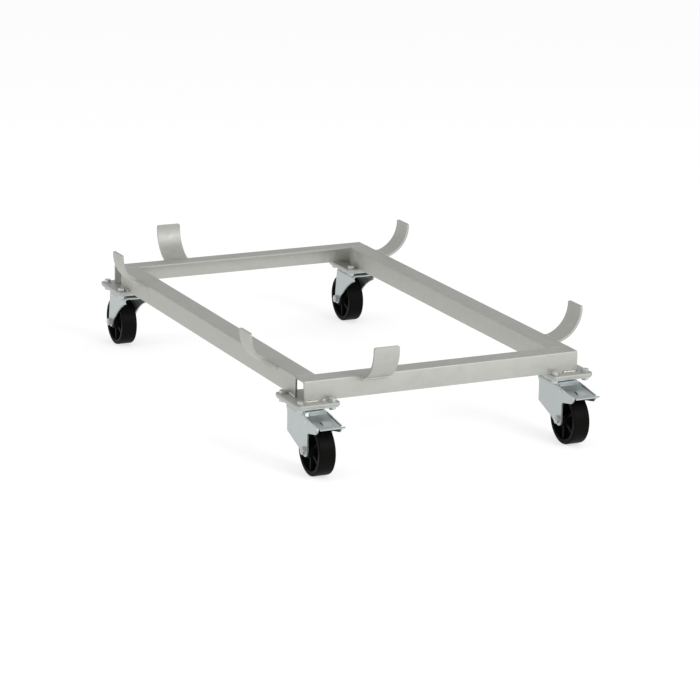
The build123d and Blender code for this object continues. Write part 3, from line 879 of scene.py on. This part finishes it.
def wheel_surface(corner):
    """A moulded wheel: a section carried round the axle, with ribs that stand on its web.

    The section goes from the bore over the hub's face, down the hub, along the web, up
    the rim and over the tread. Columns follow each rib's parallel sides: a column at
    distance d from a rib's middle lies at the angle whose sine is d over the radius. On
    the web the half thickness is the web's, plus the rib's height times its own section.
    """
    sizes = bpy.context.scene.dolly_wheel
    low, high = ends_of(corner + "_wheel")
    radius = (high[2] - low[2]) / 2
    hub_half = (high[0] - low[0]) / 2
    tread_half, bore, hub = 21 * MM, 9.05 * MM, 18 * MM
    web, rib_half = tread_half - sizes.recess, tread_half - 3.5 * MM
    rim_inside = radius - sizes.rim
    shoulder = sizes.shoulder
    offsets = np.array([0, 0.5, 0.8, 0.97, 1.1, 1.3, 1.8]) * sizes.rib_width / 2
    section = np.array([1, 1, 0.985, 0.93, 0.5, 0.10, 0.0])
    between = np.linspace(0, 1, 6)[1:]
    sector = math.pi / sizes.ribs

    # one row is (radius, fixed half thickness, share of the web's level)
    round_out = np.linspace(0, math.pi / 2, 9)
    web_radii = np.linspace(hub + 1.4 * MM, rim_inside - 1.4 * MM, 9)
    rows = [(bore, hub_half - 0.8 * MM, 0), (bore + 0.8 * MM, hub_half, 0)]
    rows += [(hub - 1.6 * MM, hub_half, 0), (hub - 0.5 * MM, hub_half - 0.4 * MM, 0)]
    rows += [(hub, hub_half - 1.6 * MM, 0)]
    rows += [(hub + 0.15 * MM, 1.6 * MM, 1), (hub + 0.5 * MM, 0.5 * MM, 1)]
    rows += [(r, 0, 1) for r in web_radii]
    rows += [(rim_inside - 0.5 * MM, 0.5 * MM, 1), (rim_inside - 0.1 * MM, 1.8 * MM, 1)]
    rows += [(rim_inside + 0.3 * MM, tread_half - 1.6 * MM, 0)]
    rows += [(rim_inside + 0.8 * MM, tread_half - 0.4 * MM, 0)]
    rows += [(rim_inside + 1.8 * MM, tread_half, 0), (radius - shoulder - 1.2 * MM, tread_half, 0)]
    rows += [
        (radius - shoulder + shoulder * math.sin(a), tread_half - shoulder + shoulder * math.cos(a), 0)
        for a in round_out
    ]
    rows += [(radius - 0.05 * MM, 4 * MM, 0), (radius - 0.05 * MM, 0.6 * MM, 0), (radius, 0.15 * MM, 0)]
    rows = np.array(rows)
    rows = np.concatenate([rows, (rows * (1, -1, -1))[::-1]])
    r, fixed, level_share = rows[:, 0], rows[:, 1], rows[:, 2]
    rib_sine = offsets[None, :] / np.maximum(r, bore)[:, None]
    rib_angle = np.arcsin(np.clip(rib_sine, 0, math.sin(0.8 * sector)))
    open_angle = rib_angle[:, -1:] + (sector - rib_angle[:, -1:]) * between
    half_sector = np.concatenate([rib_angle, open_angle], 1)
    half_height = np.concatenate([section, np.zeros(len(between))])
    whole_sector = np.concatenate([-half_sector[:, :0:-1], half_sector[:, :-1]], 1)
    whole_height = np.concatenate([half_height[:0:-1], half_height[:-1]])
    starts = np.repeat(2 * sector * np.arange(sizes.ribs), len(whole_height))
    angles = starts + np.tile(whole_sector, sizes.ribs)
    heights = np.tile(whole_height, sizes.ribs)
    level = web + (rib_half - web) * heights
    x = fixed[:, None] + level_share[:, None] * level
    y = TRAIL + r[:, None] * np.sin(angles)
    z = AXLE_HEIGHT + r[:, None] * np.cos(angles)
    return rings(np.stack([x, y, z], 2), True)


# ------------------------------------------------------------------ operators
def dress(node, finish):
    """Give a CAD node that stays its finish."""
    slots = NODES[node].material_slots
    if not slots:
        raise RuntimeError(f"{node} has no material slot")
    for material_slot in slots:
        material_slot.material = finish_of(finish)


class DOLLY_OT_rails(bpy.types.Operator):
    """Sweep the four steel angles of the frame"""

    bl_idname = "dolly.rails"
    bl_label = "Steel angle rails"

    def execute(self, context):
        edge = context.scene.dolly_sheet.edge
        for node in RAILS:
            put(node + "_bar", *rail_sweep(node), "galvanised_steel", FRAME_BODY, [node], 30.0, edge)
        return {"FINISHED"}


class DOLLY_OT_tabs(bpy.types.Operator):
    """Bend the six guide tabs from flat bar"""

    bl_idname = "dolly.tabs"
    bl_label = "Curved guide tabs"

    def execute(self, context):
        edge = context.scene.dolly_sheet.edge
        for node, outward in TABS.items():
            sides = (tab_surface(node, outward, TAB_BEND - depth) for depth in (0, TAB_SHEET))
            put(node + "_bar", *shell(*sides), "galvanised_steel", FRAME_BODY, [node], 35.0, edge)
        return {"FINISHED"}


CORNER_PLATE_ROUND = 12 * MM
CASTER_PLATE_ROUND = 9.5 * MM


class DOLLY_OT_plates(bpy.types.Operator):
    """Round the corner plates and the casters' own plates"""

    bl_idname = "dolly.plates"
    bl_label = "Corner and caster plates"

    def execute(self, context):
        edge = context.scene.dolly_sheet.edge
        for corner in CORNERS:
            for kind, slot, round_corner, round_edge in (
                ("_corner_plate", "galvanised_steel", CORNER_PLATE_ROUND, 1.2 * edge),
                ("_caster_plate", "zinc_plate", CASTER_PLATE_ROUND, edge),
            ):
                node = corner + kind
                shape = plate_sweep(node, round_corner, round_edge)
                put(node + "_cut", *shape, slot, FRAME_BODY, [node])
        return {"FINISHED"}


def lay(name, beads):
    """Make one piece of several weld beads."""
    put(name, *joined(beads), "galvanised_steel", FRAME_BODY, sharp=70, finish="weld")


class DOLLY_OT_welds(bpy.types.Operator):
    """Lay the weld beads at the tabs, the corner plates and the rails' joints"""

    bl_idname = "dolly.welds"
    bl_label = "Weld beads"

    def execute(self, context):
        size = context.scene.dolly_sheet.weld
        up, down = (0, 0, 1), (0, 0, -1)
        beads = []
        for seed, (node, outward) in enumerate(TABS.items()):
            low, high = ends_of(node)
            out = np.array((*outward, 0.0))
            along = np.array((abs(outward[1]), abs(outward[0]), 0.0))
            face = low if sum(outward) > 0 else high
            foot = np.abs(out) * face + along * (low + high) / 2 + np.array((0, 0, low[2]))
            half = float((high - low) @ along) / 2
            lift = np.array((0, 0, TAB_SHEET))
            below, above = along * (half + 3 * MM), along * (half - 1 * MM)
            beads.append(bead(foot - below, foot + below, out, down, size, seed))
            top = foot + lift
            beads.append(bead(top - above, top + above, out, up, 0.6 * size, seed + 0.5))
            for side in (-1, 1):
                at = foot + along * side * half
                ends = at - 0.4 * lift, at + 1.3 * lift
                beads.append(bead(*ends, out, side * along, 0.8 * size, seed + side))
        lay("tab_welds", beads)

        beads = []
        front, back = corner_of("front_rail", 0), corner_of("back_rail", 1)
        left, right = corner_of("left_rail", 0), corner_of("right_rail", 0)
        for seed, corner in enumerate(CORNERS):
            low, high = ends_of(corner + "_corner_plate")
            end = trails_to_back(corner)
            end_face = back[1] if end > 0 else front[1]
            start_x = max(low[0], front[0]) + 2 * MM
            width = min(high[0], back[0]) - 2 * MM - start_x
            for part, shares in enumerate(((0.0, 0.46), (0.52, 1.0))):
                a, b = ((start_x + share * width, end_face, high[2]) for share in shares)
                beads.append(bead(a, b, (0, end, 0), up, size * 1.1, 3.1 * seed + part))
            rail_end = corner_of("left_rail", 1)[1] * end
            inner_y = high[1] if end < 0 else low[1]
            face_x, side = (left[0], -1) if "left" in corner else (right[0] + RAIL_SHEET, 1)
            a, b = (face_x, rail_end, high[2]), (face_x, inner_y + end * 3 * MM, high[2])
            beads.append(bead(a, b, (side, 0, 0), up, size, 2.3 * seed + 1))
        lay("corner_plate_welds", beads)

        beads = []
        joints = ((rail, end) for rail in ("left_rail", "right_rail") for end in (0, 1))
        for seed, (rail, end) in enumerate(joints):
            low, high = ends_of(rail)
            y = (low, high)[end][1]
            a, b = (low[0] + 1 * MM, y, high[2]), (high[0] - 1 * MM, y, high[2])
            beads.append(flat_bead(a, b, (0, 1, 0), 0.9 * size, 0.7 * MM, seed + 0.3))
        lay("rail_joint_welds", beads)
        return {"FINISHED"}


class DOLLY_OT_bolts(bpy.types.Operator):
    """Make the sixteen plate bolts with their washers and nuts"""

    bl_idname = "dolly.bolts"
    bl_label = "Plate bolts"

    def execute(self, context):
        low, high = ends_of("plate_bolts")
        washer_top = corner_of("plate_washers", 1)[2]
        nut_low, nut_high = (end[2] for end in ends_of("plate_nuts"))
        width, thread, pitch, bore = PLATE_BOLT.values()
        up, down = (0, 0, 1), (0, 0, -1)
        heads, washers, nuts = [], [], []
        for index, (x, y, plate_top) in enumerate(bolt_places()):
            turn = 2.4 * index
            seat = (x, y, washer_top)
            tall = high[2] - washer_top
            heads.append(hexagonal(seat, up, width, tall, 0.0, turn, (False, True)))
            heads.append(threaded(seat, down, thread, washer_top - low[2], pitch))
            thick = washer_top - plate_top
            ring = [(0, WASHER_HOLE), (0, WASHER_RADIUS - WASHER_EDGE), (WASHER_EDGE, WASHER_RADIUS)]
            ring += [(thick - along, out) for along, out in ring[::-1]]
            washers.append(turn_about((x, y, plate_top), up, ring, 40, True))
            tall = nut_high - nut_low
            nuts.append(hexagonal((x, y, nut_low), up, width, tall, bore, turn + 1, (True, False)))
        for name, parts in (("bolts", heads), ("washers", washers), ("nuts", nuts)):
            node = "plate_" + name
            put(node + "_cut", *joined(parts), "bolt_zinc", FRAME_BODY, [node], 25.0)
        return {"FINISHED"}


RACE_BORE = 22 * MM


class DOLLY_OT_races(bpy.types.Operator):
    """Turn the swivel bearings' pressed rings"""

    bl_idname = "dolly.races"
    bl_label = "Swivel bearings"

    def execute(self, context):
        for corner in CORNERS:
            node = corner + "_ball_race"
            low, high = ends_of(node)
            centre = ((low[0] + high[0]) / 2, (low[1] + high[1]) / 2, low[2])
            radius, tall = (high[0] - low[0]) / 2, high[2] - low[2]
            lip = np.linspace(0, math.pi / 2, 6)
            inner = radius - 5 * MM
            ring = [(0.0, RACE_BORE), (0.0, inner)]
            ring += [(3 * MM * (1 - math.cos(a)), inner + 4 * MM * math.sin(a)) for a in lip]
            ring += [(4.2 * MM, radius - 1.0 * MM), (4.5 * MM, radius - 2.2 * MM)]
            ring += [(5.2 * MM, radius - 2.2 * MM), (5.5 * MM, radius - 0.6 * MM)]
            ring += [(6.1 * MM, radius), (tall - 0.6 * MM, radius)]
            ring += [(tall, radius - 0.6 * MM), (tall, RACE_BORE)]
            shape = turn_about(centre, (0, 0, 1), ring, 96, True)
            put(node + "_pressed", *shape, "zinc_plate", FRAME_BODY, [node])
            dress(corner + "_kingpin", "bolt_zinc")
        return {"FINISHED"}


class DOLLY_OT_forks(bpy.types.Operator):
    """Press the four caster forks from sheet"""

    bl_idname = "dolly.forks"
    bl_label = "Caster forks"

    def execute(self, context):
        for corner in CORNERS:
            node = corner + "_fork"
            braked = trails_to_back(corner) < 0
            points, faces = shell(*(fork_sheet(node, braked, surface) for surface in (0, 1)))
            put(node + "_pressed", at_corner(points, corner), faces, "zinc_plate",
                corner + "_swivel", [node], 35.0, context.scene.dolly_sheet.edge)
        return {"FINISHED"}


class DOLLY_OT_wheels(bpy.types.Operator):
    """Mould the four ribbed wheels"""

    bl_idname = "dolly.wheels"
    bl_label = "Wheels"

    def execute(self, context):
        for corner in CORNERS:
            node = corner + "_wheel"
            points, faces = wheel_surface(corner)
            put(node + "_moulded", at_corner(points, corner), faces, "wheel_plastic",
                corner + "_wheel_body", [node], 28.0)
        return {"FINISHED"}


class DOLLY_OT_axles(bpy.types.Operator):
    """Make the axle bolts and nuts"""

    bl_idname = "dolly.axles"
    bl_label = "Axles"

    def execute(self, context):
        width, thread, pitch, bore = AXLE.values()
        for corner in CORNERS:
            bolt, nut, fork = (ends_of(corner + part) for part in ("_axle_bolt", "_axle_nut", "_fork"))
            y, z = ((nut[0] + nut[1]) / 2)[1:]
            nut_end = 0 if nut[0][0] < fork[0][0] + 1 * MM else 1
            head_end = 1 - nut_end
            axis = (2 * nut_end - 1, 0, 0)
            back = (1 - 2 * nut_end, 0, 0)
            seat, nut_seat = (fork[head_end][0], y, z), (fork[nut_end][0], y, z)
            head_tall = abs(bolt[head_end][0] - seat[0])
            nut_tall = abs(nut[nut_end][0] - nut_seat[0])
            rod_length = abs(bolt[nut_end][0] - seat[0])
            shape = joined([
                hexagonal(seat, back, width, head_tall, 0.0, 0.4, (False, True)),
                threaded(seat, axis, thread, rod_length, pitch),
            ])
            cap = hexagonal(nut_seat, axis, width, nut_tall, bore, 0.2, (False, True))
            for part, solid in (("_axle_bolt", shape), ("_axle_nut", cap)):
                node = corner + part
                put(node + "_cut", *solid, "bolt_zinc", corner + "_swivel", [node], 25.0)
            dress(corner + "_axle_bush", "bolt_zinc")
        return {"FINISHED"}


PIN_SHANK = 3.5 * MM


class DOLLY_OT_brakes(bpy.types.Operator):
    """Finish the brake pedals, shoes and riveted pins"""

    bl_idname = "dolly.brakes"
    bl_label = "Brakes"

    def execute(self, context):
        edge = context.scene.dolly_sheet.edge
        for corner in CORNERS:
            if trails_to_back(corner) > 0:
                continue
            pedal = corner + "_pedal"
            softened(corner + "_brake_pedal", "zinc_plate", pedal, 0.9 * edge)
            softened(corner + "_brake_shoe", "brake_steel", pedal, edge)
            node = corner + "_pedal_pin"
            low, high = ends_of(node)
            radius = (high[2] - low[2]) / 2
            tall = corner_of(corner + "_fork", 0)[0] - low[0]
            width = high[0] - low[0]
            dome = np.linspace(0, math.pi / 2, 8)
            first = [(tall * (1 - math.cos(a)), radius * math.sin(a)) for a in dome]
            ring = first + [(tall, PIN_SHANK), (width - tall, PIN_SHANK)]
            ring += [(width - along, out) for along, out in first[::-1]]
            centre = (low[0], (low[1] + high[1]) / 2, (low[2] + high[2]) / 2)
            shape = turn_about(centre, (1, 0, 0), ring, 32)
            put(node + "_riveted", *shape, "bolt_zinc", corner + "_swivel", [node], 40.0)
        return {"FINISHED"}


FLOOR_REACH = 30.0
FLOOR_CORNERS = ((-1, -1), (1, -1), (1, 1), (-1, 1))
FLOOR_SHADE = 0.52
FLOOR_GLOW = 0.64


class DOLLY_OT_stage(bpy.types.Operator):
    """Set up floor, light and camera"""

    bl_idname = "dolly.stage"
    bl_label = "Stage"

    def execute(self, context):
        stage = context.scene.dolly_stage
        corners = [(x * FLOOR_REACH, y * FLOOR_REACH, 0) for x, y in FLOOR_CORNERS]
        mesh = bpy.data.meshes.new("Floor")
        mesh.from_pydata(corners, [], [(0, 1, 2, 3)])
        floor = bpy.data.objects.new("Floor", mesh)
        context.scene.collection.objects.link(floor)
        material, tree, shader = start_material("Pale floor")
        shader.inputs["Base Color"].default_value = (*scaled(stage.floor, FLOOR_SHADE), 1)
        shader.inputs["Roughness"].default_value = 0.9
        shader.inputs["Specular IOR Level"].default_value = 0.0
        shader.inputs["Emission Color"].default_value = (1, 1, 1, 1)
        shader.inputs["Emission Strength"].default_value = FLOOR_GLOW
        mesh.materials.append(material)

        world = bpy.data.worlds.new("Soft room")
        world.use_nodes = True
        background = world.node_tree.nodes["Background"]
        background.inputs["Color"].default_value = (1.0, 1.0, 1.0, 1)
        background.inputs["Strength"].default_value = stage.world
        context.scene.world = world

        def softbox(name, place, aim, size, power):
            light = bpy.data.lights.new(name, "AREA")
            light.shape = "DISK"
            light.size = size
            light.energy = power
            lamp = bpy.data.objects.new(name, light)
            lamp.location = place
            lamp.rotation_euler = (Vector(aim) - Vector(place)).to_track_quat("-Z", "Y").to_euler()
            context.scene.collection.objects.link(lamp)

        softbox("Key over the braked end", (1.6, -5.0, 2.6), (0, 0, 0.1), 2.4, 100 * stage.key)
        softbox("Fill from the left", (-5.0, 0.5, 2.4), (0, 0, 0.1), 3.0, 36 * stage.key)

        forward = Vector((
            math.sin(stage.azimuth) * math.cos(stage.elevation),
            math.cos(stage.azimuth) * math.cos(stage.elevation),
            -math.sin(stage.elevation),
        ))
        level = Vector((math.cos(stage.azimuth), -math.sin(stage.azimuth), 0))
        upright = level.cross(forward)
        right = math.cos(stage.roll) * level + math.sin(stage.roll) * upright
        up = math.cos(stage.roll) * upright - math.sin(stage.roll) * level
        data = bpy.data.cameras.new("Camera")
        data.sensor_width = 36.0
        data.lens = stage.lens
        data.clip_end = 100.0
        camera = bpy.data.objects.new("Camera", data)
        turn = Matrix((right, up, -forward)).transposed().to_4x4()
        camera.matrix_world = Matrix.Translation(Vector(stage.aim) - stage.distance * forward) @ turn
        context.scene.collection.objects.link(camera)
        context.scene.camera = camera
        context.scene.view_settings.view_transform = "Standard"
        return {"FINISHED"}


class DOLLY_PT_panel(bpy.types.Panel):
    """Lists the dolly's settings and steps"""

    bl_idname = "DOLLY_PT_panel"
    bl_label = "Rolling drum dolly"
    bl_space_type = "VIEW_3D"
    bl_region_type = "UI"
    bl_category = "Dolly"

    def draw(self, context):
        layout = self.layout
        for group in (context.scene.dolly_finish, context.scene.dolly_sheet,
                      context.scene.dolly_wheel, context.scene.dolly_stage):
            column = layout.column()
            for name in group.__annotations__:
                column.prop(group, name)
        for step in STEPS:
            layout.operator(step.bl_idname)


GROUPS = (
    ("dolly_finish", DollyFinish),
    ("dolly_sheet", DollySheet),
    ("dolly_wheel", DollyWheel),
    ("dolly_stage", DollyStage),
)
STEPS = (
    DOLLY_OT_stage, DOLLY_OT_rails, DOLLY_OT_tabs, DOLLY_OT_plates, DOLLY_OT_welds, DOLLY_OT_bolts,
    DOLLY_OT_races, DOLLY_OT_forks, DOLLY_OT_wheels, DOLLY_OT_axles, DOLLY_OT_brakes,
)


def register():
    """Register the settings, the steps and the panel."""
    for name, group in GROUPS:
        bpy.utils.register_class(group)
        setattr(bpy.types.Scene, name, PointerProperty(type=group))
    for step in (*STEPS, DOLLY_PT_panel):
        bpy.utils.register_class(step)


def unregister():
    """Take everything out again."""
    for step in (DOLLY_PT_panel, *reversed(STEPS)):
        bpy.utils.unregister_class(step)
    for name, group in reversed(GROUPS):
        delattr(bpy.types.Scene, name)
        bpy.utils.unregister_class(group)


def main():
    """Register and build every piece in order."""
    register()
    for step in STEPS:
        family, action = step.bl_idname.split(".")
        getattr(getattr(bpy.ops, family), action)()


if __name__ == "__main__":
    main()
